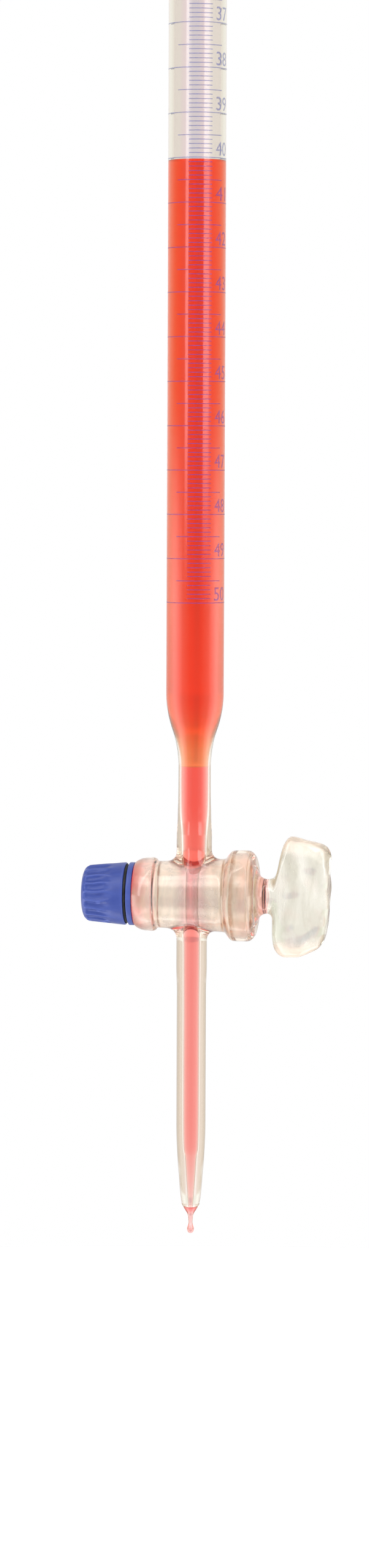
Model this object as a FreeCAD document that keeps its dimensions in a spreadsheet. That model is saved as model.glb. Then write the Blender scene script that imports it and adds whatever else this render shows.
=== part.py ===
import FreeCAD, Part
import math
import os
import re

import Sketcher
from FreeCAD import Vector

# A 50 mL straight-tube burette with a ground glass stopcock, in millimetres.
# +Z runs up the graduated tube and +X along the stopcock's key, towards its handle.
# The origin is on the tube's axis, level with the middle line of the scale.
# The front of the object, where the scale is read, faces -Y.

SIZES = {
    # graduated tube
    "tube_outer_radius": 6.85,
    "tube_bore_radius": 5.525,
    "rim_round": 0.6,
    "ml_pitch": 10.43,
    "scale_ml": 50,
    "zero_to_rim": 65,
    "fifty_to_shoulder": 21.5,
    "shoulder_length": 17.7,
    "neck_outer_radius": 3.85,
    "neck_bore_radius": 2.45,
    "fifty_to_weld": 51.6,
    "fifty_to_key": 70.05,
    # enamel scale
    "enamel_height": 0.3,
    "enamel_proud": 0.05,
    "scale_turn": 15,
    "ml_mark_angle": 190,
    "half_mark_angle": 97,
    "tenth_mark_angle": 47.6,
    # arms of the stopcock and the delivery jet
    "weld_outer_radius": 3.95,
    "arm_outer_radius": 4.2,
    "arm_bore_radius": 1.95,
    "arm_flare": 2.4,
    "outlet_offset": 0.55,
    "outlet_outer_radius": 3.65,
    "outlet_bore_radius": 1.4,
    "key_to_jet": 19.05,
    "jet_outer_radius": 3.5,
    "jet_bore_radius": 1.32,
    "jet_weld_length": 2,
    "jet_length": 56.5,
    "jet_taper_length": 18,
    "jet_taper_radius": 2.85,
    "jet_tip_length": 7.5,
    "jet_tip_radius": 2.15,
    "tip_bore_radius": 0.38,
    "tip_round": 0.8,
    # stopcock barrel, along the key's axis from the tube's axis
    "barrel_left": 14.2,
    "barrel_right": 15,
    "left_bead_inner": 8.9,
    "left_bead_outer": 9.9,
    "left_bead_radius": 8.75,
    "left_end_radius": 7.7,
    "barrel_outer_radius": 8.4,
    "right_bead_start": 7.6,
    "right_bead_full": 9.6,
    "right_bead_end": 13.4,
    "right_bead_radius": 10.85,
    "right_end_radius": 9.2,
    "barrel_bore_radius": 6.25,
    "seat_taper": 0.05,
    # key and its handle
    "key_clearance": 0.03,
    "key_bore_radius": 1.55,
    "plug_left": 13.8,
    "plug_right": 14.4,
    "stem_start": 16.5,
    "stem_radius": 4.1,
    "stem_fillet": 3.1,
    "handle_start": 18.9,
    "handle_top_start": 21.9,
    "handle_end": 32.9,
    "handle_bottom_end": 31.5,
    "handle_half_height": 14.7,
    "handle_slope": 2.4,
    "handle_thickness": 8.6,
    "handle_corner": 3.2,
    "handle_edge": 3.4,
    "thread_radius": 4,
    "thread_flat": 3.1,
    "thread_end": 24.6,
    # retaining nut, tension ring and washer
    "small_gap": 0.05,
    "hole_gap": 0.1,
    "washer_radius": 7.55,
    "washer_start": 14.25,
    "washer_end": 15.55,
    "ring_radius": 7,
    "ring_end": 16.85,
    "nut_start": 16.3,
    "nut_end": 26.7,
    "nut_large_radius": 7.52,
    "nut_small_radius": 6.65,
    "nut_round": 0.9,
    "nut_wall": 1.2,
    "flute_count": 18,
    "flute_radius": 1.25,
    "flute_depth": 0.4,
    "flute_stop": 19.4,
    # titrant
    "filled_ml": 40,
    "liquid_gap": 0.1,
    "drop_length": 6.5,
    "drop_top_radius": 1.75,
    "drop_cone_length": 1.9,
    "drop_neck_radius": 0.55,
    "drop_bulb_radius": 0.85,
}

doc = FreeCAD.newDocument("burette")
sheet = doc.addObject("Spreadsheet::Sheet", "dims")
for row, (alias, number) in enumerate(SIZES.items(), start=1):
    sheet.set(f"A{row}", alias)
    sheet.set(f"B{row}", str(number))
    sheet.setAlias(f"B{row}", alias)
doc.recompute()

KEY_HEIGHT = "-(ml_pitch * scale_ml / 2 + fifty_to_key)"
TAPER = "seat_taper"
nodes = []


def bound(formula):
    """The formula with each size name pointed at its cell; every size name has an underscore."""
    return re.sub(r"\b[a-z]+(?:_[a-z]+)+\b", r"dims.\g<0>", formula)


def value(formula):
    """The number that a formula of size names comes to."""
    number = sheet.evalExpression(bound(formula))
    return float(getattr(number, "Value", number))


def new_body(name, height="0", across="0"):
    """An empty sub-part whose own origin is at the given height and place along X."""
    body = doc.addObject("PartDesign::Body", name)
    body.Label = name
    body.AllowCompound = True
    body.setExpression("Placement.Base.x", bound(across))
    body.setExpression("Placement.Base.z", bound(height))
    nodes.append(body)
    return body


def new_sketch(body, name, role):
    """An empty sketch on one of the body's own origin planes."""
    sketch = body.newObject("Sketcher::SketchObject", name)
    plane = next(item for item in body.Origin.OriginFeatures if item.Role == role)
    sketch.AttachmentSupport = [(plane, "")]
    sketch.MapMode = "FlatFace"
    return sketch


def bind(sketch, constraint, formula):
    """Add a size constraint and tie it to the sheet."""
    index = sketch.addConstraint(constraint)
    sketch.setExpression(f"Constraints[{index}]", bound(formula))


def pin_point(sketch, curve, end, across, along):
    """Hold one end of a curve at the formulas' coordinates; '0' puts it on an axis."""
    if across == "0":
        sketch.addConstraint(Sketcher.Constraint("PointOnObject", curve, end, -2))
    else:
        bind(sketch, Sketcher.Constraint("DistanceX", curve, end, value(across)), across)
    if along == "0":
        sketch.addConstraint(Sketcher.Constraint("PointOnObject", curve, end, -1))
    else:
        bind(sketch, Sketcher.Constraint("DistanceY", curve, end, value(along)), along)


def arc_between(start, end, radius, turn):
    """The shorter arc from start to end that bends to the left or to the right."""
    chord = end - start
    side = 1 if turn == "left" else -1
    rise = math.sqrt(max(radius**2 - (chord.Length / 2) ** 2, 0))
    across = Vector(-chord.y, chord.x, 0).normalize() * (side * rise)
    centre = (start + end) * 0.5 + across
    first, last = (start, end) if turn == "left" else (end, start)
    angles = [math.atan2(point.y - centre.y, point.x - centre.x) for point in (first, last)]
    circle = Part.Circle(centre, Vector(0, 0, 1), radius)
    return Part.ArcOfCircle(circle, angles[0], angles[1])


def add_outline(sketch, points):
    """Close a loop through the points, each (across, along) or (across, along, radius, turn).

    The last two say that an arc of that radius, turning that way, arrives at the point.
    """
    corners = [Vector(value(point[0]), value(point[1]), 0) for point in points]
    base = sketch.GeometryCount
    ends = []
    for number, point in enumerate(points):
        start = corners[number - 1]
        if len(point) == 2:
            sketch.addGeometry(Part.LineSegment(start, corners[number]))
            ends.append((1, 2))
        else:
            radius, turn = point[2], point[3]
            sketch.addGeometry(arc_between(start, corners[number], value(radius), turn))
            ends.append((1, 2) if turn == "left" else (2, 1))
    for number, point in enumerate(points):
        curve = base + number
        after = base + (number + 1) % len(points)
        before_end, after_start = ends[number][1], ends[(number + 1) % len(points)][0]
        sketch.addConstraint(
            Sketcher.Constraint("Coincident", curve, before_end, after, after_start)
        )
        pin_point(sketch, curve, before_end, point[0], point[1])
        if len(point) == 4:
            bind(sketch, Sketcher.Constraint("Radius", curve, value(point[2])), point[2])


def turned(body, name, axis, points, kind="Revolution", angle="360"):
    """Turn an outline, drawn in the body's XZ plane, about the sketch's H_Axis or V_Axis."""
    sketch = new_sketch(body, name + "_outline", "XZ_Plane")
    add_outline(sketch, points)
    feature = body.newObject("PartDesign::" + kind, name)
    feature.Profile = sketch
    feature.ReferenceAxis = (sketch, [axis])
    feature.Midplane = True
    feature.setExpression("Angle", bound(angle))
    sketch.Visibility = False
    doc.recompute()
    return feature


def port(body, name, radius, across, way):
    """Bore from the body's level plane, 'up', 'down' or 'through', at a place along X."""
    sketch = new_sketch(body, name + "_outline", "XY_Plane")
    centre = Vector(value(across), 0, 0)
    sketch.addGeometry(Part.Circle(centre, Vector(0, 0, 1), value(radius)))
    pin_point(sketch, 0, 3, across, "0")
    bind(sketch, Sketcher.Constraint("Radius", 0, value(radius)), radius)
    feature = body.newObject("PartDesign::Pocket", name)
    feature.Profile = sketch
    feature.Type = "ThroughAll"
    feature.Midplane = way == "through"
    feature.Reversed = way == "up"
    sketch.Visibility = False
    doc.recompute()


def make_graduated_tube():
    """The plain tube with its bore, drawn down at the foot in an S-shaped shoulder to a neck."""
    body = new_body("graduated_tube")
    rim = "ml_pitch * scale_ml / 2 + zero_to_rim"
    shoulder = "-(ml_pitch * scale_ml / 2 + fifty_to_shoulder)"
    middle = "-(ml_pitch * scale_ml / 2 + fifty_to_shoulder + shoulder_length / 2)"
    neck = "-(ml_pitch * scale_ml / 2 + fifty_to_shoulder + shoulder_length)"
    weld = "-(ml_pitch * scale_ml / 2 + fifty_to_weld)"
    outer_drop = "(tube_outer_radius - neck_outer_radius)"
    inner_drop = "(tube_bore_radius - neck_bore_radius)"
    outer_bend = f"(shoulder_length ^ 2 + {outer_drop} ^ 2) / (4 * {outer_drop})"
    inner_bend = f"(shoulder_length ^ 2 + {inner_drop} ^ 2) / (4 * {inner_drop})"
    points = [
        ("tube_bore_radius", shoulder, inner_bend, "left"),
        ("tube_bore_radius", f"{rim} - rim_round"),
        ("tube_bore_radius + rim_round", rim, "rim_round", "right"),
        ("tube_outer_radius - rim_round", rim),
        ("tube_outer_radius", f"{rim} - rim_round", "rim_round", "right"),
        ("tube_outer_radius", shoulder),
        ("(tube_outer_radius + neck_outer_radius) / 2", middle, outer_bend, "right"),
        ("neck_outer_radius", neck, outer_bend, "left"),
        ("weld_outer_radius", weld),
        ("arm_bore_radius", weld),
        ("neck_bore_radius", neck),
        ("(tube_bore_radius + neck_bore_radius) / 2", middle, inner_bend, "right"),
    ]
    turned(body, "tube_wall", "V_Axis", points)


def make_marks(name, places, angle, repeats):
    """Printed bands at the given places within one millilitre, repeated up the scale."""
    body = new_body(name, height="-ml_pitch * scale_ml / 2")
    sketch = new_sketch(body, name + "_section", "XZ_Plane")
    for place in places:
        low = f"ml_pitch * {place} / 10 - enamel_height / 2"
        high = f"ml_pitch * {place} / 10 + enamel_height / 2"
        outside = "tube_outer_radius + enamel_proud"
        band = [("tube_outer_radius", low), (outside, low), (outside, high)]
        add_outline(sketch, band + [("tube_outer_radius", high)])
    bands = body.newObject("PartDesign::Revolution", name + "_bands")
    bands.Profile = sketch
    bands.ReferenceAxis = (sketch, ["V_Axis"])
    bands.Midplane = True
    bands.setExpression("Angle", bound(angle))
    body.setExpression("Placement.Rotation.Yaw", bound("scale_turn - 90"))
    doc.recompute()
    pattern = body.newObject("PartDesign::LinearPattern", name + "_column")
    pattern.Originals = [bands]
    pattern.Direction = (sketch, ["V_Axis"])
    pattern.setExpression("Length", bound(f"ml_pitch * ({repeats} - 1)"))
    pattern.setExpression("Occurrences", bound(repeats))
    body.Tip = pattern
    doc.recompute()


def make_enamel_scale():
    """The scale: a band at each millilitre, a shorter one at each half and the shortest at tenths."""
    make_marks("enamel_ml_rings", [0], "ml_mark_angle", "scale_ml + 1")
    make_marks("enamel_half_marks", [5], "half_mark_angle", "scale_ml")
    make_marks("enamel_tenth_marks", [1, 2, 3, 4, 6, 7, 8, 9], "tenth_mark_angle", "scale_ml")


def cut_barrel_away(body, name, across):
    """Shape the end of an arm to the barrel's tapered outside, where the two are sealed."""
    reach = "arm_outer_radius * 2"
    points = [
        (f"-{reach}", "0"),
        (reach, "0"),
        (reach, f"barrel_outer_radius + ({across} + {reach}) * {TAPER}"),
        (f"-{reach}", f"barrel_outer_radius + ({across} - {reach}) * {TAPER}"),
    ]
    turned(body, name, "H_Axis", points, kind="Groove")


def make_inlet_arm():
    """The short arm between the neck's weld and the top of the barrel, flared where it is sealed."""
    body = new_body("inlet_arm", height=KEY_HEIGHT)
    weld = "fifty_to_key - fifty_to_weld"
    foot = "barrel_outer_radius"
    points = [
        ("arm_bore_radius", weld),
        ("weld_outer_radius", weld),
        ("arm_outer_radius", f"{foot} + arm_flare"),
        ("arm_outer_radius + arm_flare", foot, "arm_flare", "left"),
        ("arm_outer_radius + arm_flare", f"{foot} / 3"),
        ("arm_bore_radius", f"{foot} / 3"),
    ]
    turned(body, "arm_wall", "V_Axis", points)
    cut_barrel_away(body, "inlet_saddle", "0")


def make_outlet_arm():
    """The arm below the barrel, down to its weld with the jet; it sits a little off the tube's axis."""
    body = new_body("outlet_arm", height=KEY_HEIGHT, across="-outlet_offset")
    foot = "barrel_outer_radius"
    points = [
        ("outlet_bore_radius", "-key_to_jet"),
        ("outlet_bore_radius", f"-{foot} / 3"),
        ("outlet_outer_radius + arm_flare", f"-{foot} / 3"),
        ("outlet_outer_radius + arm_flare", f"-{foot}"),
        ("outlet_outer_radius", f"-{foot} - arm_flare", "arm_flare", "left"),
        ("outlet_outer_radius", "-key_to_jet"),
    ]
    turned(body, "arm_wall", "V_Axis", points)
    cut_barrel_away(body, "outlet_saddle", "-outlet_offset")


def make_delivery_jet():
    """The long tip: a thick-walled tube drawn to a fine bore, with a fire-polished end."""
    body = new_body("delivery_jet", height=f"{KEY_HEIGHT} - key_to_jet", across="-outlet_offset")
    end = "-jet_length"
    points = [
        ("outlet_bore_radius", "0"),
        ("outlet_outer_radius", "0"),
        ("jet_outer_radius", "-jet_weld_length"),
        ("jet_outer_radius", f"{end} + jet_taper_length"),
        ("jet_taper_radius", f"{end} + jet_tip_length"),
        ("jet_tip_radius", f"{end} + tip_round"),
        ("jet_tip_radius - tip_round", end, "tip_round", "right"),
        ("tip_bore_radius", end),
        ("jet_bore_radius", f"{end} + jet_taper_length"),
    ]
    turned(body, "jet_wall", "V_Axis", points)


def make_stopcock_barrel():
    """The tapered shell with a bead at each end and a port above and below the key."""
    body = new_body("stopcock_barrel", height=KEY_HEIGHT)
    seat_left = f"barrel_bore_radius - barrel_left * {TAPER}"
    seat_right = f"barrel_bore_radius + barrel_right * {TAPER}"
    points = [
        ("-barrel_left", seat_left),
        ("-barrel_left", "left_end_radius"),
        ("-left_bead_outer", "left_bead_radius"),
        ("-left_bead_inner", f"barrel_outer_radius - left_bead_inner * {TAPER}"),
        ("right_bead_start", f"barrel_outer_radius + right_bead_start * {TAPER}"),
        ("right_bead_full", "right_bead_radius"),
        ("right_bead_end", "right_bead_radius"),
        ("barrel_right", "right_end_radius"),
        ("barrel_right", seat_right),
    ]
    turned(body, "shell", "H_Axis", points)
    port(body, "inlet_port", "arm_bore_radius", "0", "up")
    port(body, "outlet_port", "outlet_bore_radius", "-outlet_offset", "down")


def rounded(body, name, radius, chosen):
    """Round the edges of the body's tip that the test picks out."""
    base = body.Tip
    names = [f"Edge{i}" for i, edge in enumerate(base.Shape.Edges, start=1) if chosen(edge)]
    feature = body.newObject("PartDesign::Fillet", name)
    feature.Base = (base, names)
    feature.setExpression("Radius", bound(radius))
    doc.recompute()


def make_handle_paddle(body):
    """The moulded handle: a thick rounded paddle, slanted on the stem side and across the top."""
    sketch = new_sketch(body, "handle_outline", "XZ_Plane")
    points = [
        ("handle_start", "-handle_half_height"),
        ("handle_bottom_end - handle_corner * 2", "-handle_half_height"),
        ("handle_bottom_end", "-handle_half_height + handle_slope"),
        ("handle_end", "handle_half_height - handle_slope"),
        ("handle_top_start", "handle_half_height"),
        ("handle_start", "0"),
    ]
    add_outline(sketch, points)
    paddle = body.newObject("PartDesign::Pad", "handle_paddle")
    paddle.Profile = sketch
    paddle.Midplane = True
    paddle.setExpression("Length", bound("handle_thickness"))
    doc.recompute()
    half = value("handle_thickness") / 2
    tolerance = 1e-6
    turn_in = value("handle_bottom_end - handle_corner * 2")

    def is_corner(edge):
        ends = [vertex.Point for vertex in edge.Vertexes]
        across = abs(ends[0].y - ends[1].y) > half
        gentle = ends[0].z > -tolerance and ends[0].x < value("handle_start") + tolerance
        low = abs(ends[0].x - turn_in) < tolerance
        return across and not gentle and not low

    def is_rim(edge):
        return all(abs(abs(vertex.Y) - half) < tolerance for vertex in edge.Vertexes)

    rounded(body, "handle_corners", "handle_corner", is_corner)
    rounded(body, "handle_edges", "handle_edge", is_rim)


def make_stopcock_key():
    """The key, one moulding: handle, stem, ground taper with its cross bore, and thread end."""
    body = new_body("stopcock_key", height=KEY_HEIGHT)
    make_handle_paddle(body)
    plug_left = f"barrel_bore_radius - key_clearance - plug_left * {TAPER}"
    plug_right = f"barrel_bore_radius - key_clearance + plug_right * {TAPER}"
    points = [
        ("-thread_end", "0"),
        ("-thread_end", "thread_radius - rim_round"),
        ("-thread_end + rim_round", "thread_radius"),
        ("-plug_left", "thread_radius"),
        ("-plug_left", plug_left),
        ("plug_right", plug_right),
        ("stem_start", "stem_radius", "stem_fillet", "left"),
        ("handle_start + handle_edge", "stem_radius"),
        ("handle_start + handle_edge", "0"),
    ]
    turned(body, "plug_and_stem", "H_Axis", points)
    port(body, "cross_bore", "key_bore_radius", "0", "through")
    sketch = new_sketch(body, "thread_flat_outline", "XZ_Plane")
    outside = "thread_radius + small_gap"
    points = [
        ("-thread_end - small_gap", "thread_flat"),
        ("-plug_left", "thread_flat"),
        ("-plug_left", outside),
        ("-thread_end - small_gap", outside),
    ]
    add_outline(sketch, points)
    flat = body.newObject("PartDesign::Pocket", "thread_flat_cut")
    flat.Profile = sketch
    flat.Type = "ThroughAll"
    flat.Midplane = True
    doc.recompute()


def make_thrust_washer():
    """The stiff washer on the barrel's end; its D-shaped hole makes it turn with the key."""
    body = new_body("thrust_washer", height=KEY_HEIGHT, across="-washer_end")
    sketch = new_sketch(body, "washer_outline", "YZ_Plane")
    sketch.addGeometry(Part.Circle(Vector(0, 0, 0), Vector(0, 0, 1), value("washer_radius")))
    sketch.addConstraint(Sketcher.Constraint("Coincident", 0, 3, -1, 1))
    bind(sketch, Sketcher.Constraint("Radius", 0, value("washer_radius")), "washer_radius")
    hole = "(thread_radius + hole_gap)"
    flat = "(thread_flat + hole_gap)"
    half_flat = f"sqrt({hole} ^ 2 - {flat} ^ 2)"
    points = [
        (f"-{half_flat}", flat, hole, "right"),
        (half_flat, flat),
        ("0", f"-{hole}", hole, "right"),
    ]
    add_outline(sketch, points)
    disc = body.newObject("PartDesign::Pad", "washer_disc")
    disc.Profile = sketch
    disc.setExpression("Length", bound("washer_end - washer_start"))
    doc.recompute()


def make_tension_ring():
    """The rubber ring that the nut squeezes, half sunk in the nut's mouth."""
    body = new_body("tension_ring", height=KEY_HEIGHT)
    right = "-washer_end - small_gap"
    left = "-ring_end + small_gap"
    hole = "thread_radius + hole_gap"
    points = [(left, hole), (left, "ring_radius"), (right, "ring_radius"), (right, hole)]
    turned(body, "ring_section", "H_Axis", points)


def nut_outside(distance):
    """The nut's outer radius at a distance to the left of the tube's axis."""
    growth = "(nut_large_radius - nut_small_radius) / (nut_end - nut_start)"
    return f"(nut_small_radius + (nut_end - ({distance})) * {growth})"


def make_retaining_nut():
    """The capped nut, a little wider at its mouth, with shallow grip flutes that fade out."""
    body = new_body("retaining_nut", height=KEY_HEIGHT)
    mouth = "ring_radius + hole_gap"
    hole = "thread_radius + hole_gap"
    cap = "-nut_end + nut_wall"
    points = [
        (cap, "0"),
        ("-nut_end", "0"),
        ("-nut_end", "nut_small_radius - nut_round"),
        ("-nut_end + nut_round", "nut_small_radius", "nut_round", "right"),
        ("-nut_start", "nut_large_radius"),
        ("-nut_start", mouth),
        ("-ring_end", mouth),
        ("-ring_end", hole),
        (cap, hole),
    ]
    turned(body, "nut_cap", "H_Axis", points)
    cutter_axis = "flute_radius - flute_depth"
    beyond = "nut_end + nut_round"
    fade = "flute_stop + flute_radius * 2"
    points = [
        (f"-({beyond})", f"{nut_outside(beyond)} + {cutter_axis}"),
        (f"-({beyond})", f"{nut_outside(beyond)} - flute_depth"),
        (f"-({fade})", f"{nut_outside(fade)} - flute_depth"),
        ("-flute_stop", f"{nut_outside('flute_stop')} + {cutter_axis}"),
    ]
    sketch = new_sketch(body, "flute_outline", "XZ_Plane")
    add_outline(sketch, points)
    axis_start = Vector(value(points[3][0]), value(points[3][1]), 0)
    axis_end = Vector(value(points[0][0]), value(points[0][1]), 0)
    line = sketch.addGeometry(Part.LineSegment(axis_start, axis_end), True)
    sketch.addConstraint(Sketcher.Constraint("Coincident", line, 1, 3, 2))
    sketch.addConstraint(Sketcher.Constraint("Coincident", line, 2, 0, 2))
    flute = body.newObject("PartDesign::Groove", "flute")
    flute.Profile = sketch
    flute.ReferenceAxis = (sketch, ["Axis0"])
    doc.recompute()
    pattern = body.newObject("PartDesign::PolarPattern", "flutes")
    pattern.Originals = [flute]
    pattern.Axis = (next(f for f in body.Origin.OriginFeatures if f.Role == "X_Axis"), [""])
    pattern.Angle = 360
    pattern.setExpression("Occurrences", bound("flute_count"))
    body.Tip = pattern
    doc.recompute()


def make_titrant_column():
    """The liquid above the key: it fills the tube to its reading, the shoulder and the arm."""
    body = new_body("titrant_column", height=KEY_HEIGHT)
    surface = "(scale_ml - filled_ml) * ml_pitch + fifty_to_key"
    shoulder = "fifty_to_key - fifty_to_shoulder"
    middle = "fifty_to_key - fifty_to_shoulder - shoulder_length / 2"
    neck = "fifty_to_key - fifty_to_shoulder - shoulder_length"
    drop = "(tube_bore_radius - neck_bore_radius)"
    bend = f"(shoulder_length ^ 2 + {drop} ^ 2) / (4 * {drop})"
    foot = "barrel_bore_radius + liquid_gap"
    points = [
        ("0", foot),
        ("0", surface),
        ("tube_bore_radius - liquid_gap", surface),
        ("tube_bore_radius - liquid_gap", shoulder),
        ("(tube_bore_radius + neck_bore_radius) / 2 - liquid_gap", middle, bend, "right"),
        ("neck_bore_radius - liquid_gap", neck, bend, "left"),
        ("arm_bore_radius - liquid_gap", "fifty_to_key - fifty_to_weld"),
        ("arm_bore_radius - liquid_gap", foot),
    ]
    turned(body, "column", "V_Axis", points)


def make_key_bore_liquid():
    """The liquid in the key's cross bore."""
    body = new_body("key_bore_liquid", height=KEY_HEIGHT)
    end = "barrel_bore_radius - key_bore_radius / 4"
    radius = "key_bore_radius - liquid_gap"
    points = [("0", f"-({end})"), ("0", end), (radius, end), (radius, f"-({end})")]
    turned(body, "plug_of_liquid", "V_Axis", points)


def make_jet_liquid():
    """The liquid below the key, down to the jet's end."""
    body = new_body("jet_liquid", height=KEY_HEIGHT, across="-outlet_offset")
    end = "-key_to_jet - jet_length"
    radius = "outlet_bore_radius - liquid_gap"
    points = [
        ("0", end),
        ("0", "-barrel_bore_radius - liquid_gap"),
        (radius, "-barrel_bore_radius - liquid_gap"),
        (radius, "-key_to_jet"),
        ("jet_bore_radius - liquid_gap", f"{end} + jet_taper_length"),
        ("tip_bore_radius - liquid_gap", end),
    ]
    turned(body, "thread_of_liquid", "V_Axis", points)


def make_pendant_drop():
    """The drop that is pulling away from the tip: a cone, a thin neck and a small bulb."""
    tip = f"{KEY_HEIGHT} - key_to_jet - jet_length"
    body = new_body("pendant_drop", height=tip, across="-outlet_offset")
    bulb = "-drop_length + drop_bulb_radius"
    points = [
        ("0", "0"),
        ("drop_top_radius", "0"),
        ("drop_neck_radius", "-drop_cone_length", "drop_cone_length * 1.4", "left"),
        ("drop_neck_radius * 0.8", "-drop_cone_length * 2"),
        ("drop_bulb_radius", bulb),
        ("0", "-drop_length", "drop_bulb_radius", "right"),
    ]
    turned(body, "drop", "V_Axis", points)


for make in (
    make_graduated_tube,
    make_enamel_scale,
    make_inlet_arm,
    make_stopcock_barrel,
    make_outlet_arm,
    make_delivery_jet,
    make_stopcock_key,
    make_thrust_washer,
    make_tension_ring,
    make_retaining_nut,
    make_titrant_column,
    make_key_bore_liquid,
    make_jet_liquid,
    make_pendant_drop,
):
    make()
doc.recompute()

for item in doc.Objects:
    if {"Invalid", "Error"} & set(item.State):
        raise RuntimeError(f"{item.Label} did not build: {item.State}")
for node in nodes:
    shape = node.Shape
    if shape.isNull() or not shape.isValid() or not shape.Solids:
        raise RuntimeError(f"{node.Label} has no valid solid")
    print(f"{node.Label}: {len(shape.Solids)} solid, {shape.Volume:.1f} mm3")

os.makedirs("parts", exist_ok=True)
for node in nodes:
    node.Shape.exportStep(f"parts/{node.Label}.step")
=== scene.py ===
import math

import bmesh
import bpy
import numpy as np
from mathutils import Matrix, Vector, noise


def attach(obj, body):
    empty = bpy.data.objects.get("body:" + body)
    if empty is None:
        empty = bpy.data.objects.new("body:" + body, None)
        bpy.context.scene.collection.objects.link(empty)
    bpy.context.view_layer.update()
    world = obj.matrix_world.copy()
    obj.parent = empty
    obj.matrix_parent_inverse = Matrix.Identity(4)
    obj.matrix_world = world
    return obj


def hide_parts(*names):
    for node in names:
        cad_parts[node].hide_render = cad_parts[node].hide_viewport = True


# The looks of a 50 mL burette with a glass stopcock. Lengths are in millimetres until a mesh is
# made, and every mesh is in metres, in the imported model's own frame: +Z up the tube, +X along the
# key towards its handle, the origin at the middle of the scale.

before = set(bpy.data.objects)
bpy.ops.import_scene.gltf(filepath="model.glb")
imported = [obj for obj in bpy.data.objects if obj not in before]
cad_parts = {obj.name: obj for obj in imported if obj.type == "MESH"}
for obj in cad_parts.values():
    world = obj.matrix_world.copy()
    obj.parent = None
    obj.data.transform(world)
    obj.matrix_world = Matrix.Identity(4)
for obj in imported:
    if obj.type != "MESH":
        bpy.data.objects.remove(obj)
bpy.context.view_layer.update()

MM = 0.001
FUSE = 0.012  # how far a liquid or the key reaches into the glass around it, so that no air shows

# graduated tube
TUBE_R = 6.85
BORE_R = 5.525
RIM_ROUND = 0.6
PITCH = 10.43
SCALE_ML = 50
RIM_Z = SCALE_ML * PITCH / 2 + 65
FIFTY_Z = -SCALE_ML * PITCH / 2
SHOULDER_Z = FIFTY_Z - 21.5
SHOULDER_LENGTH = 17.7
NECK_Z = SHOULDER_Z - SHOULDER_LENGTH
NECK_R = 3.85
NECK_BORE_R = 2.45
WELD_Z = FIFTY_Z - 51.6
KEY_Z = FIFTY_Z - 70.05

# arms and jet
WELD_R = 3.95
ARM_R = 4.2
ARM_BORE_R = 1.95
FLARE = 2.4
OUTLET_X = -0.55
OUTLET_R = 3.65
OUTLET_BORE_R = 1.4
JET_Z = KEY_Z - 19.05
JET_R = 3.5
JET_BORE_R = 1.32
TIP_Z = JET_Z - 56.5
TAPER_Z = TIP_Z + 18
TIP_R = 2.15
TIP_BORE_R = 0.38

# titrant, whose surface stands at the 40 mL line
SURFACE_Z = FIFTY_Z + 10 * PITCH - 0.38
# the drop that pulls away from the tip, as (radius, height above the tip)
DROP = [
    (1.72, 0.12), (1.74, 0.02), (1.62, -0.25), (1.3, -0.8), (0.86, -1.5), (0.62, -2.2),
    (0.52, -3.2), (0.48, -3.9), (0.58, -4.5), (0.78, -5.1), (0.82, -5.6), (0.62, -6.15),
    (0.3, -6.42),
]
DROP_LENGTH = 6.48

# stopcock, with X measured from the tube's axis
BARREL_R = 8.4
SEAT_R = 6.25
TAPER = 0.05
BARREL_LEFT = -14.2
BARREL_RIGHT = 15.0
PLUG_LEFT = -13.9
PLUG_RIGHT = 14.5
KEY_BORE_R = 1.55
STEM_R = 4.1
# the handle's curves: x and z of the top, x and y of the face, x and z of the bottom
HANDLE_KNOTS = [
    (17.6, 4.1, 17.6, 4.1, 17.6, -4.1),
    (18.6, 4.25, 18.6, 4.1, 18.2, -4.3),
    (19.5, 4.9, 19.3, 4.12, 18.75, -5.1),
    (20.1, 6.8, 19.9, 4.18, 18.85, -7.2),
    (20.7, 9.4, 20.4, 4.24, 18.88, -9.6),
    (21.3, 12.0, 21.0, 4.3, 19.1, -11.5),
    (21.9, 13.4, 21.7, 4.3, 19.6, -13.0),
    (22.7, 14.2, 22.5, 4.3, 20.7, -14.1),
    (23.8, 14.45, 23.6, 4.3, 22.3, -14.6),
    (26.5, 13.95, 26.0, 4.3, 24.6, -14.5),
    (29.2, 13.2, 28.3, 4.3, 27.2, -13.65),
    (31.0, 12.6, 30.0, 4.2, 29.5, -12.6),
    (32.0, 11.75, 31.0, 4.0, 30.8, -11.2),
    (32.6, 10.3, 31.7, 3.6, 31.5, -9.6),
    (32.8, 8.6, 32.2, 3.0, 31.9, -7.6),
    (32.8, 5.5, 32.5, 2.1, 32.2, -5.0),
    (32.7, 2.6, 32.6, 1.1, 32.4, -2.4),
    (32.65, 0.9, 32.6, 0.4, 32.5, -0.7),
]
HANDLE_END = (32.56, 0, KEY_Z + 0.1)
# the handle's dents: the noise's seed, depth and rate, and where along the key they fade in
DENT_SEED = 11
DENT_SIZE = 0.34
DENT_RATE = 0.26
DENT_LEFT = 17.5
DENT_FADE = 4
# the key's moulded thread end
THREAD_END = -24.6
THREAD_R = 4.0
THREAD_PITCH = 2.0
THREAD_DEPTH = 0.65
THREAD_FLAT = 3.1

# grid of the ported shells: the square around each port and the rings that leave it
AROUND = 128
PORT_HALF = 7.2
PORT_STEPS = 38
PORT_TURN = 22
RING = 2 * (PORT_STEPS + 2 * PORT_TURN)


# ---- mesh helpers


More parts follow.
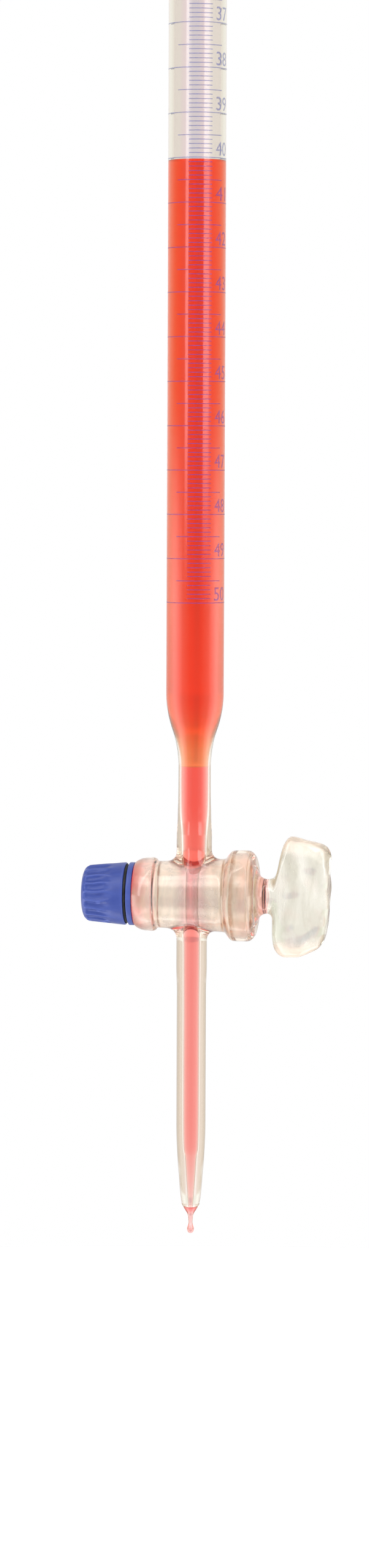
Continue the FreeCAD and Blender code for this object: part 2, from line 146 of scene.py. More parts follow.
class Skin:
    """Points and faces of one closed surface, built ring by ring."""

    def __init__(self):
        self.points = []
        self.faces = []

    def ring(self, points):
        start = len(self.points)
        self.points.extend(points)
        return list(range(start, len(self.points)))

    def bridge(self, low, high):
        count = len(low)
        for k in range(count):
            after = (k + 1) % count
            self.faces.append((low[k], low[after], high[after], high[k]))

    def stack(self, rings):
        """Join a run of rings, each to the next, and give back the last."""
        for low, high in zip(rings, rings[1:]):
            self.bridge(low, high)
        return rings[-1]

    def close(self, ring, point):
        """Fill a ring with a fan around one point."""
        centre = self.ring([point])[0]
        for k in range(len(ring)):
            self.faces.append((ring[k], ring[(k + 1) % len(ring)], centre))

    def piece(self, name, material, body, slot, sharp=38):
        """Turn the surface into an object that rides on a body."""
        mesh = bpy.data.meshes.new(name)
        mesh.from_pydata([Vector(p) * MM for p in self.points], [], self.faces)
        return finish_piece(mesh, name, material, body, sharp)


def finish_piece(mesh, name, material, body, sharp=38):
    """Clean a mesh, shade it and hang it on its body."""
    work = bmesh.new()
    work.from_mesh(mesh)
    bmesh.ops.remove_doubles(work, verts=work.verts, dist=1e-7)
    bmesh.ops.recalc_face_normals(work, faces=work.faces)
    work.to_mesh(mesh)
    work.free()
    mesh.shade_smooth()
    mesh.set_sharp_from_angle(angle=math.radians(sharp))
    piece = bpy.data.objects.new(name, mesh)
    bpy.context.scene.collection.objects.link(piece)
    mesh.materials.append(material)
    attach(piece, body)
    return piece


def smooth_curve(points, steps=8):
    """A Catmull-Rom curve through a few points, as many short steps between each two."""
    spots = np.array([points[0], *points, points[-1]], float)
    curve = []
    for before, start, end, after in zip(spots, spots[1:], spots[2:], spots[3:]):
        for t in np.arange(steps) / steps:
            bend = 2 * before - 5 * start + 4 * end - after
            twist = -before + 3 * start - 3 * end + after
            curve.append(start + 0.5 * ((end - before) * t + bend * t**2 + twist * t**3))
    curve.append(spots[-1])
    return [tuple(spot) for spot in curve]


def arc(centre, radii, start, end, steps=8):
    """Points on an ellipse's arc between two angles in degrees."""
    angles = np.radians(np.linspace(start, end, steps + 1))
    (x, y), (across, up) = centre, radii
    return [(x + across * math.cos(a), y + up * math.sin(a)) for a in angles]


def spread(start, end, step):
    """Evenly spaced points on a straight run, without its first."""
    count = max(1, round(math.dist(start, end) / step))
    shares = np.arange(1, count + 1) / count
    return [tuple(np.array(start) * (1 - t) + np.array(end) * t) for t in shares]


def upright_ring(radius, height, centre_x=0.0):
    """A level circle about an upright axis."""
    angles = np.arange(RING) * 2 * math.pi / RING
    return [(centre_x + radius * math.cos(a), radius * math.sin(a), height) for a in angles]


def key_ring(x, radius):
    """A circle about the key's axis; angles run from the top towards +Y."""
    angles = np.arange(AROUND) * 2 * math.pi / AROUND
    return [(x, radius * math.sin(a), KEY_Z + radius * math.cos(a)) for a in angles]


def upright_rings(skin, profile, centre_x=0.0):
    """Level rings for the (radius, height) pairs of a profile."""
    return [skin.ring(upright_ring(radius, height, centre_x)) for radius, height in profile]


# ---- ported shells


def on_shell(x, y, side, radius_at):
    """The point of a shell of revolution about the key's axis above or below a plan position."""
    return (x, y, KEY_Z + side * math.sqrt(max(radius_at(x) ** 2 - y**2, 0)))


def ported_shell(skin, stations):
    """A shell about the key's axis, left open in a square at its top and at its bottom.

    stations are (x, radius) pairs. Gives the first ring, the last ring and the two squares'
    edges, each as a loop that starts at +X and runs towards +Y.
    """
    inside = [i for i, (x, _) in enumerate(stations) if abs(x) < PORT_HALF + 1e-6]
    first, last = inside[0], inside[-1]
    grid = [[None] * AROUND for _ in stations]

    def turn_from(j, middle):
        return (j - middle + AROUND // 2) % AROUND - AROUND // 2

    def buried(i, j):
        turns = [abs(turn_from(j, middle)) for middle in (0, AROUND // 2)]
        return first < i < last and min(turns) < PORT_TURN

    for i, (x, radius) in enumerate(stations):
        ring = key_ring(x, radius)
        for j in range(AROUND):
            if not buried(i, j):
                grid[i][j] = skin.ring([ring[j]])[0]
    for i in range(len(stations) - 1):
        for j in range(AROUND):
            after = (j + 1) % AROUND
            corners = (grid[i][j], grid[i][after], grid[i + 1][after], grid[i + 1][j])
            middles = [(turn_from(j, m) + turn_from(after, m)) / 2 for m in (0, AROUND // 2)]
            in_port = first <= i < last and min(abs(m) for m in middles) < PORT_TURN
            if not in_port:
                skin.faces.append(corners)
    squares = []
    for side in (1, -1):
        middle = 0 if side > 0 else AROUND // 2

        def spot(i, turn):
            return grid[i][(middle + side * turn) % AROUND]

        loop = [spot(last, turn) for turn in range(PORT_TURN + 1)]
        loop += [spot(i, PORT_TURN) for i in range(last - 1, first - 1, -1)]
        loop += [spot(first, turn) for turn in range(PORT_TURN - 1, -PORT_TURN - 1, -1)]
        loop += [spot(i, -PORT_TURN) for i in range(first + 1, last + 1)]
        loop += [spot(last, turn) for turn in range(-PORT_TURN + 1, 0)]
        squares.append(loop)
    return grid[0], grid[-1], squares[0], squares[1]


def close_square(skin, square, side, radius_at, port_radius, centre_x, loops=9):
    """Fill between a square's edge and the port's circle; gives the circle's ring."""
    outer = [skin.points[index][:2] for index in square]
    circle = [point[:2] for point in upright_ring(port_radius, 0, centre_x)]
    rings = [square]
    for share in np.arange(1, loops + 1) / loops:
        plan = [
            (a[0] * (1 - share) + b[0] * share, a[1] * (1 - share) + b[1] * share)
            for a, b in zip(outer, circle)
        ]
        rings.append(skin.ring([on_shell(x, y, side, radius_at) for x, y in plan]))
    return skin.stack(rings)


def flare_to_arm(skin, foot, side, radius_at, arm_radius, centre_x, loops=12):
    """The sealed fillet that leads from a circle on the shell up into an arm."""
    step = 0.01  # for the shell's slope
    pull = 0.62  # of the Bezier handles, as a share of the way to the corner
    reach = arm_radius + FLARE
    angles = np.arange(RING) * 2 * math.pi / RING
    rings = [foot]
    for share in np.arange(1, loops + 1) / loops:
        points = []
        for index, angle in zip(foot, angles):
            out = np.array([math.cos(angle), math.sin(angle)])
            start = np.array(skin.points[index])
            inner = out * (reach - step) + (centre_x, 0)
            slope = (on_shell(*inner, side, radius_at)[2] - start[2]) / step
            corner = np.array([*(out * arm_radius + (centre_x, 0)), start[2] + slope * FLARE])
            end = corner + (0, 0, side * np.linalg.norm(corner - start))
            first = start + (corner - start) * pull
            second = end + (corner - end) * pull
            rest = 1 - share
            point = start * rest**3 + first * 3 * share * rest**2
            point = point + second * 3 * share**2 * rest + end * share**3
            points.append(tuple(point))
        rings.append(skin.ring(points))
    return skin.stack(rings)


def barrel_radius(x):
    return BARREL_R + TAPER * x


def seat_radius(x):
    return SEAT_R + TAPER * x


def key_radius(x):
    return seat_radius(x) + FUSE


def port_run(radius_at):
    """Evenly spaced stations across the ports."""
    return [(x, radius_at(x)) for x in np.linspace(-PORT_HALF, PORT_HALF, PORT_STEPS + 1)]


def tapered_run(radius_at, start, end, step):
    """Evenly spaced stations on a taper, without the first."""
    return spread((start, radius_at(start)), (end, radius_at(end)), step)


# ---- glass of the body


def shoulder_curve(top_radius, foot_radius, steps=22):
    """The S-shaped draw-down from the tube to the neck, as (radius, height) going down."""
    drop = top_radius - foot_radius
    half = SHOULDER_LENGTH / 2
    bend = (SHOULDER_LENGTH**2 + drop**2) / (4 * drop)
    curve = []
    for down in np.linspace(0, SHOULDER_LENGTH, 2 * steps + 1):
        if down <= half:
            radius = top_radius - (bend - math.sqrt(bend**2 - down**2))
        else:
            radius = foot_radius + (bend - math.sqrt(bend**2 - (SHOULDER_LENGTH - down) ** 2))
        curve.append((radius, SHOULDER_Z - down))
    return curve


def inner_profile(grow=0.0):
    """The bore from the tube down to the key, as (radius, height), a little larger by grow."""
    profile = [(r + grow, z) for r, z in shoulder_curve(BORE_R, NECK_BORE_R)]
    waist = [(NECK_BORE_R, NECK_Z), (NECK_BORE_R - 0.02, WELD_Z + 5)]
    waist += [(NECK_BORE_R - 0.1, WELD_Z + 1), (ARM_BORE_R + 0.1, WELD_Z - 3.5)]
    waist += [(ARM_BORE_R, WELD_Z - 7)]
    profile += [(r + grow, z) for r, z in smooth_curve(waist, 6)[1:]]
    return profile


def jet_outside():
    """The outlet arm and the jet, as (radius, height) going down to the tip."""
    weld = [(OUTLET_R, JET_Z + 5), (OUTLET_R + 0.01, JET_Z + 1.6), (OUTLET_R - 0.06, JET_Z - 0.8)]
    weld += [(JET_R, JET_Z - 3.2), (JET_R, JET_Z - 7)]
    nose = [(JET_R, TAPER_Z + 6), (JET_R - 0.03, TAPER_Z), (3.2, TIP_Z + 12), (2.86, TIP_Z + 7.6)]
    nose += [(2.5, TIP_Z + 3.2), (TIP_R, TIP_Z + 1)]
    end = arc((TIP_R - 0.85, TIP_Z + 0.85), (0.85, 0.85), 0, -90, 8)
    return smooth_curve(weld, 5) + spread(weld[-1], nose[0], 5) + smooth_curve(nose, 7)[1:] + end


def jet_bore(grow=0.0):
    """The bore of the outlet arm and the jet, as (radius, height) going down."""
    run = [(OUTLET_BORE_R, JET_Z + 6), (OUTLET_BORE_R - 0.01, JET_Z)]
    run += [(JET_BORE_R + 0.05, JET_Z - 8), (JET_BORE_R, TAPER_Z), (0.95, TIP_Z + 12)]
    run += [(0.66, TIP_Z + 6), (TIP_BORE_R, TIP_Z + 0.6), (TIP_BORE_R, TIP_Z)]
    return [(r + grow, z) for r, z in smooth_curve(run, 8)]


def barrel_outside():
    """The shell's outline along the key's axis, as (x, radius) from the nut end."""
    left = [(BARREL_LEFT, 7.2), (BARREL_LEFT + 0.12, 7.62), (-13.5, 8.12), (-12.5, 8.55)]
    left += [(-11.2, 8.76), (-9.9, 8.8), (-9.25, 8.62), (-8.85, 8.15), (-8.4, barrel_radius(-8.4))]
    right = [(PORT_HALF, barrel_radius(PORT_HALF)), (7.8, 9.02), (8.5, 9.95), (9.2, 10.66)]
    right += [(10.2, 10.85), (13.0, 10.85), (14.0, 10.45), (14.7, 9.6), (BARREL_RIGHT, 8.6)]
    approach = tapered_run(barrel_radius, -8.4, -PORT_HALF, 0.4)
    middle = port_run(barrel_radius)[1:]
    return smooth_curve(left, 6) + approach + middle + smooth_curve(right, 7)[1:]


def make_burette_glass(material):
    """Tube, shoulder, arms, barrel and jet as the one piece of glass they are sealed into."""
    skin = Skin()
    out_left, out_right, out_top, out_foot = ported_shell(skin, barrel_outside())
    seat = [(BARREL_LEFT, seat_radius(BARREL_LEFT))]
    seat += tapered_run(seat_radius, BARREL_LEFT, -PORT_HALF, 0.7) + port_run(seat_radius)[1:]
    seat += tapered_run(seat_radius, PORT_HALF, BARREL_RIGHT, 0.7)
    in_left, in_right, in_top, in_foot = ported_shell(skin, seat)
    skin.bridge(out_left, in_left)
    skin.bridge(out_right, in_right)

    foot = close_square(skin, out_top, 1, barrel_radius, ARM_R + FLARE, 0.0, 3)
    arm = flare_to_arm(skin, foot, 1, barrel_radius, ARM_R, 0.0)
    weld = [(ARM_R, KEY_Z + 14.5), (WELD_R + 0.06, WELD_Z - 0.6), (WELD_R + 0.04, WELD_Z + 0.8)]
    weld += [(NECK_R + 0.03, WELD_Z + 5), (NECK_R, NECK_Z)]
    outside = smooth_curve(weld, 6) + shoulder_curve(TUBE_R, NECK_R)[::-1][1:]
    rim_z = RIM_Z - RIM_ROUND
    outside += spread(outside[-1], (TUBE_R, rim_z), 30)
    outside += arc((TUBE_R - RIM_ROUND, rim_z), (RIM_ROUND, RIM_ROUND), 0, 90)[1:]
    bore = arc((BORE_R + RIM_ROUND, rim_z), (RIM_ROUND, RIM_ROUND), 90, 180)
    bore += spread((BORE_R, rim_z), (BORE_R, SHOULDER_Z), 30)[:-1] + inner_profile()
    skin.stack([arm, *upright_rings(skin, outside + bore),
                close_square(skin, in_top, 1, seat_radius, ARM_BORE_R, 0.0)])

    foot = close_square(skin, out_foot, -1, barrel_radius, OUTLET_R + FLARE, OUTLET_X, 3)
    arm = flare_to_arm(skin, foot, -1, barrel_radius, OUTLET_R, OUTLET_X)
    below = jet_outside() + jet_bore()[::-1]
    skin.stack([arm, *upright_rings(skin, below, OUTLET_X),
                close_square(skin, in_foot, -1, seat_radius, OUTLET_BORE_R, OUTLET_X)])
    piece = skin.piece("burette_glass", material, "burette", "clear_glass")
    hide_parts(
        "graduated_tube", "inlet_arm", "stopcock_barrel", "outlet_arm", "delivery_jet"
    )


# ---- key


def thread_ring(x):
    """One ring of the moulded thread end: a rounded helical rib with a flat along its top."""
    fade_in = min(1, (x - THREAD_END) / 1.2)
    fade_out = min(1, (-14.6 - x) / 1.0)
    fade = max(0, min(fade_in, fade_out))
    points = []
    for k in range(AROUND):
        angle = 2 * math.pi * k / AROUND
        wave = 0.5 + 0.5 * math.cos(2 * math.pi * (x / THREAD_PITCH) + angle)
        radius = THREAD_R - THREAD_DEPTH * fade * wave**1.5 - 0.25 * (1 - fade_in)
        height = min(radius * math.cos(angle), THREAD_FLAT)
        points.append((x, radius * math.sin(angle), KEY_Z + height))
    return points


def dented(point):
    """A point of the handle moved a little by smooth noise, as on glass from a worn mould."""
    fade = min(1, max(0, (point[0] - DENT_LEFT) / DENT_FADE))
    shift = noise.noise_vector(Vector(point) * DENT_RATE) * DENT_SIZE * fade
    return tuple(Vector(point) + shift)


def handle_rings(skin):
    """The paddle, lofted from the stem: each ring meets its top, face and bottom curves."""
    knots = np.array(HANDLE_KNOTS)
    tops = smooth_curve(knots[:, 0:2], 5)
    faces = smooth_curve(knots[:, 2:4], 5)
    feet = smooth_curve(knots[:, 4:6], 5)
    steps, end = np.arange(len(tops)), len(tops)
    # the squareness of each ring, and how deeply the two faces are dished
    powers = np.interp(steps, [0, 12, 35, end], [2.0, 2.2, 3.0, 3.0])
    dishes = np.interp(steps, [0, 14, 34, 52, 62, end], [0, 0, 0.07, 0.09, 0.02, 0])
    rings = []
    stations = zip(tops, faces, feet, powers, dishes)
    for (top_x, top), (face_x, depth), (foot_x, foot), power, dish in stations:
        points = []
        for k in range(AROUND):
            angle = 2 * math.pi * k / AROUND
            up, across = math.cos(angle), math.sin(angle)
            size = (abs(up) ** power + abs(across) ** power) ** (-1 / power)
            up, across = up * size, across * size
            share = up**2 / (up**2 + across**2)
            edge_x, edge = (top_x, top) if up > 0 else (foot_x, -foot)
            x = edge_x * share + face_x * (1 - share)
            across *= 1 - dish * max(0, 1 - (up / 0.72) ** 2) ** 1.5
            points.append(dented((x, across * depth, KEY_Z + up * edge)))
        rings.append(skin.ring(points))
    return rings


def make_key(material):
    """The moulded key: thread end, ground plug with its cross bore, stem and paddle handle."""
    noise.seed_set(DENT_SEED)
    skin = Skin()
    plug = [(PLUG_LEFT, key_radius(PLUG_LEFT) - 0.3)]
    plug += [(PLUG_LEFT + 0.25, key_radius(PLUG_LEFT + 0.25))]
    plug += tapered_run(key_radius, PLUG_LEFT + 0.25, -PORT_HALF, 0.7)[:-1] + port_run(key_radius)
    plug += tapered_run(key_radius, PORT_HALF, PLUG_RIGHT, 0.7)
    shoulder = [plug[-1], (15.0, 6.6), (15.45, 5.75), (16.0, 4.85), (16.8, 4.32), (17.8, STEM_R)]
    plug += smooth_curve(shoulder, 6)[1:]
    left, right, top, foot = ported_shell(skin, plug)
    upper = close_square(skin, top, 1, key_radius, KEY_BORE_R, 0.0)
    lower = close_square(skin, foot, -1, key_radius, KEY_BORE_R, 0.0)
    walls = [skin.ring(upright_ring(KEY_BORE_R, KEY_Z + z)) for z in (5.2, 2.6, 0, -2.6, -5.2)]
    skin.stack([upper, *walls, lower])
    thread = [skin.ring(thread_ring(x)) for x in np.arange(-14.0, THREAD_END - 0.01, -0.1)]
    skin.stack([left, *thread])
    skin.close(thread[-1], (THREAD_END, 0, KEY_Z))
    handle = handle_rings(skin)
    skin.stack([right, *handle])
    skin.close(handle[-1], HANDLE_END)
    piece = skin.piece("stopcock_key_glass", material, "key", "key_glass", 60)
    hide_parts("stopcock_key")


# ---- nut, ring and washer

NUT_FLUTES = 20
FLUTE_DEPTH = 0.48
FLUTES_END = -20.3
WASHER_FLAT = 3.2


def make_nut(material):
    """The capped nut, with grip flutes that fade out before the plain band at its mouth."""
    count = 16 * NUT_FLUTES  # points around
    left, right = -26.7, -16.3
    small, large = 6.68, 7.5
    mouth, bore, floor, seat = 7.1, THREAD_R + 0.1, -25.5, -16.88
    cap, lip = 4.2, 0.35
    outside = [(left, 1.5), (left, 3.2)]
    outside += arc((left + 1.7, cap), (1.7, small + 0.06 - cap), 180, 90, 10)
    outside += spread((-25.0, small + 0.08), (right - lip, large), 0.35)
    outside += arc((right - lip, large - lip), (lip, lip), 90, 0, 5)[1:]
    inside = [(right, mouth + 0.1), (right - 0.1, mouth), (seat, mouth), (seat, bore + 0.3)]
    inside += [(-17.1, bore), (-20.0, bore), (floor, bore), (floor, 1.0)]
    skin = Skin()
    rings = []
    for index, (x, radius) in enumerate(outside + inside):
        share = min(1.0, max(0.0, (x - left - 0.5) / 1.2))
        fade = 1 / (1 + math.exp((x - FLUTES_END) / 0.5))
        deepest = FLUTE_DEPTH * share * fade if index < len(outside) else 0.0
        points = []
        for k in range(count):
            angle = 2 * math.pi * k / count
            wobble = 0.05 * math.sin(x * 1.1 + 3 * angle)
            wave = 0.5 + 0.5 * math.cos(NUT_FLUTES * (angle + 0.35 * wobble))
            cut = radius - deepest * (1 - (1 - wave) ** 1.8)
            points.append((x, cut * math.sin(angle), KEY_Z + cut * math.cos(angle)))
        rings.append(skin.ring(points))
    skin.stack(rings)
    skin.close(rings[0], (left, 0, KEY_Z))
    skin.close(rings[-1], (floor, 0, KEY_Z))
    piece = skin.piece("retaining_nut_moulded", material, "nut", "blue_plastic", 32)
    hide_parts("retaining_nut")


def closed_lathe(outline, clip=None):
    """A solid ring about the key's axis from an (x, radius) outline; clip cuts its hole flat."""
    skin = Skin()
    rings = []
    for x, radius in outline:
        points = key_ring(x, radius)
        if clip and radius < THREAD_R + 0.3:
            points = [(px, py, KEY_Z + min(pz - KEY_Z, clip)) for px, py, pz in points]
        rings.append(skin.ring(points))
    skin.stack(rings + [rings[0]])
    return skin


def make_washer(material):
    """The stiff blue washer with its D-shaped hole and eased rims."""
    left, right, hole, rim, ease = -15.55, -14.25, THREAD_R + 0.1, 7.55, 0.22
    outline = arc((left + ease, rim - ease), (ease, ease), 180, 90, 4)
    outline += arc((right - ease, rim - ease), (ease, ease), 90, 0, 4)
    outline += [(right, 5.8), (right, hole + 0.12), (right - 0.12, hole), (left + 0.12, hole)]
    outline += [(left, hole + 0.12), (left, 5.8)]
    skin = closed_lathe(outline, clip=WASHER_FLAT)
    piece = skin.piece("thrust_washer_moulded", material, "key", "blue_plastic")
    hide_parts("thrust_washer")


def make_tension_ring(material):
    """The black rubber ring between the nut and the washer, slightly bulged by the squeeze."""
    left, right, hole, rim = -16.8, -15.6, THREAD_R + 0.1, 7.0
    bulge = arc(((left + right) / 2, rim - 0.3), ((right - left) / 2, 0.3), 180, 0, 10)
    outline = bulge + [(right, 5.4), (right, hole + 0.1), (right - 0.1, hole), (left + 0.1, hole)]
    outline += [(left, hole + 0.1), (left, 5.4)]
    piece = closed_lathe(outline).piece("tension_ring_rubber", material, "ring", "black_rubber")
    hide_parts("tension_ring")


# ---- titrant


def shell_ring(skin, side, radius_at, radius, centre_x):
    """A circle seen from above, laid on a shell about the key's axis."""
    plan = upright_ring(radius, 0, centre_x)
    return skin.ring([on_shell(x, y, side, radius_at) for x, y, _ in plan])


def shell_cap(skin, ring, side, radius_at, radius, centre_x, loops=6):
    """Close a liquid's end with the curve of the key's surface."""
    shares = np.arange(1, loops) / loops
    inner = [shell_ring(skin, side, radius_at, radius * (1 - share), centre_x) for share in shares]
    last = skin.stack([ring, *inner])
    skin.close(last, on_shell(centre_x, 0, side, radius_at))


def make_titrant_column(material):
    """The liquid from its curved surface at the 40 mL line down to the neck."""
    climb, reach = 0.1, 0.12  # of the liquid up the wall, and of that climb in from the wall
    wall = BORE_R + FUSE
    meniscus = []
    for radius in (*np.linspace(0.3, wall - 1.2, 10), *np.linspace(wall - 1.1, wall, 24)):
        meniscus.append((radius, SURFACE_Z + climb * math.exp(-(wall - radius) / reach)))
    skin = Skin()
    side = spread(meniscus[-1], (wall, SHOULDER_Z), 12)[:-1]
    wide = shoulder_curve(wall, NECK_BORE_R + FUSE)
    rings = upright_rings(skin, meniscus + side + wide)
    skin.stack(rings)
    skin.close(rings[0], (0, 0, meniscus[0][1] - 0.005))
    skin.close(rings[-1], (0, 0, wide[-1][1]))
    piece = skin.piece("titrant_column_liquid", material, "burette", "red_titrant")
    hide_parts("titrant_column")


def make_neck_liquid(material):
    """The rest of the liquid above the key, in the neck and the arm."""
    skin = Skin()
    narrow = [spot for spot in inner_profile(FUSE) if spot[1] < NECK_Z - 0.01]
    top = (NECK_BORE_R + FUSE, NECK_Z + FUSE)
    rings = upright_rings(skin, [top, *narrow, (ARM_BORE_R + FUSE, KEY_Z + 9)])
    rings.append(shell_ring(skin, 1, seat_radius, ARM_BORE_R + FUSE, 0.0))
    skin.stack(rings)
    skin.close(rings[0], (0, 0, top[1]))
    shell_cap(skin, rings[-1], 1, seat_radius, ARM_BORE_R + FUSE, 0.0)
    skin.piece("titrant_neck_liquid", material, "burette", "red_titrant")


def make_key_bore_liquid(material):
    """The liquid in the key's bore, flush with the plug above and below."""
    skin = Skin()
    radius = KEY_BORE_R + FUSE
    top = shell_ring(skin, 1, key_radius, radius, 0.0)
    foot = shell_ring(skin, -1, key_radius, radius, 0.0)
    walls = [skin.ring(upright_ring(radius, KEY_Z + z)) for z in (5, 2.5, 0, -2.5, -5)]
    skin.stack([top, *walls, foot])
    shell_cap(skin, top, 1, key_radius, radius, 0.0)
    shell_cap(skin, foot, -1, key_radius, radius, 0.0)
    piece = skin.piece("key_bore_titrant", material, "key", "red_titrant")
    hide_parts("key_bore_liquid")


def make_jet_liquid(material):
    """The liquid below the key and the drop that is pulling away from the tip, as one body."""
    skin = Skin()
    top = shell_ring(skin, -1, seat_radius, OUTLET_BORE_R + FUSE, OUTLET_X)
    bore = [(OUTLET_BORE_R + FUSE, KEY_Z - 8), *jet_bore(FUSE)[:-1]]
    spread_out = [(TIP_BORE_R + 0.02, TIP_Z + 0.02), (0.9, TIP_Z + 0.012), (1.35, TIP_Z + 0.02)]
    drop = smooth_curve([(radius, TIP_Z + height) for radius, height in DROP], 5)
    rings = [top, *upright_rings(skin, bore, OUTLET_X)]
    rings += upright_rings(skin, spread_out + drop, OUTLET_X)
    skin.stack(rings)
    skin.close(rings[-1], (OUTLET_X, 0, TIP_Z - DROP_LENGTH))
    shell_cap(skin, top, -1, seat_radius, OUTLET_BORE_R + FUSE, OUTLET_X)
    piece = skin.piece("jet_titrant_and_drop", material, "burette", "red_titrant", 75)
    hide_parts("jet_liquid", "pendant_drop")


# ---- enamel scale

SCALE_AZIMUTH = -75.0
NUMERAL_AZIMUTH = SCALE_AZIMUTH + 50
NUMERAL_HEIGHT = 3.2
NUMERAL_WIDTH = 4.15  # of two figures
NUMERAL_RISE = 0.5  # of the baseline above its line
NUMERAL_EDGE = 0.45  # longest edge left, so that figures bend with the tube
ENAMEL_PROUD = 0.03
ENAMEL_SUNK = 0.02
LINE_HALF = 0.11
TENTHS = (1, 2, 3, 4, 6, 7, 8, 9)


def mark_height(reading):
    return FIFTY_Z + (SCALE_ML - reading) * PITCH


def add_band(skin, reading, half_angle):
    """One printed line: a thin bar bent round the tube."""
    steps = max(8, round(half_angle * 2 / 2.5))
    angles = np.radians(SCALE_AZIMUTH + np.linspace(-half_angle, half_angle, steps + 1))
    z = mark_height(reading)
    inner, outer = TUBE_R - ENAMEL_SUNK, TUBE_R + ENAMEL_PROUD
    edge, face = LINE_HALF, LINE_HALF * 0.8
    section = [(inner, -edge), (outer, -face), (outer, face), (inner, edge)]
    rings = []
    for angle in angles:
        across, ahead = math.cos(angle), math.sin(angle)
        rings.append(skin.ring([(r * across, r * ahead, z + rise) for r, rise in section]))
    skin.stack(rings)
    skin.faces.append(tuple(rings[0]))
    skin.faces.append(tuple(rings[-1]))


def make_scale_lines(material):
    """The lines of the scale: long at each millilitre, shorter at halves, shortest at tenths."""
    tenths = [ml + tenth / 10 for ml in range(SCALE_ML) for tenth in TENTHS]
    kinds = {
        "enamel_ml_rings": (95, range(SCALE_ML + 1)),
        "enamel_half_marks": (48.5, [ml + 0.5 for ml in range(SCALE_ML)]),
        "enamel_tenth_marks": (23.8, tenths),
    }
    for node, (half_angle, readings) in kinds.items():
        skin = Skin()
        for reading in readings:
            add_band(skin, reading, half_angle)
        piece = skin.piece(node + "_print", material, "burette", "blue_enamel", 30)
        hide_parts(node)


def numeral_mesh(text):
    """Flat numerals as a mesh in millimetres, centred across and standing on the baseline."""
    curve = bpy.data.curves.new("numeral", "FONT")
    curve.body = text
    curve.resolution_u = 6
    maker = bpy.data.objects.new("numeral", curve)
    mesh = bpy.data.meshes.new_from_object(maker)
    bpy.data.objects.remove(maker)
    work = bmesh.new()
    work.from_mesh(mesh)
    bpy.data.meshes.remove(mesh)
    xs = [v.co.x for v in work.verts]
    ys = [v.co.y for v in work.verts]
    width = NUMERAL_WIDTH * (1 if len(text) == 2 else 0.47)
    for v in work.verts:
        v.co.x = ((v.co.x - min(xs)) / (max(xs) - min(xs)) - 0.5) * width
        v.co.y = (v.co.y - min(ys)) / (max(ys) - min(ys)) * NUMERAL_HEIGHT
    bmesh.ops.triangulate(work, faces=work.faces)
    for _ in range(4):
        long_edges = [e for e in work.edges if e.calc_length() > NUMERAL_EDGE]
        if not long_edges:
            break
        bmesh.ops.subdivide_edges(work, edges=long_edges, cuts=1)
        bmesh.ops.triangulate(work, faces=work.faces)
    return work


def make_numerals(material):
    """The number above each millilitre line, wrapped on the tube with a hair of thickness."""
    whole = bmesh.new()
    for reading in range(SCALE_ML + 1):
        work = numeral_mesh(str(reading))
        flat = list(work.faces)
        extruded = bmesh.ops.extrude_face_region(work, geom=flat)
        top = {v for v in extruded["geom"] if isinstance(v, bmesh.types.BMVert)}
        for v in work.verts:
            angle = math.radians(NUMERAL_AZIMUTH) + v.co.x / TUBE_R
            radius = TUBE_R + (ENAMEL_PROUD if v in top else -ENAMEL_SUNK)
            z = mark_height(reading) + NUMERAL_RISE + v.co.y
            v.co = Vector((radius * math.cos(angle), radius * math.sin(angle), z)) * MM
        mesh = bpy.data.meshes.new("numeral")
        work.to_mesh(mesh)
        work.free()
        whole.from_mesh(mesh)
        bpy.data.meshes.remove(mesh)
    mesh = bpy.data.meshes.new("enamel_numerals_print")
    whole.to_mesh(mesh)
    whole.free()
    finish_piece(mesh, "enamel_numerals_print", material, "burette", 30)


# ---- shader graphs


def rgba(level):
    """An opaque colour, from a colour or from a grey level."""
    return (*level, 1) if isinstance(level, tuple) else (level, level, level, 1)


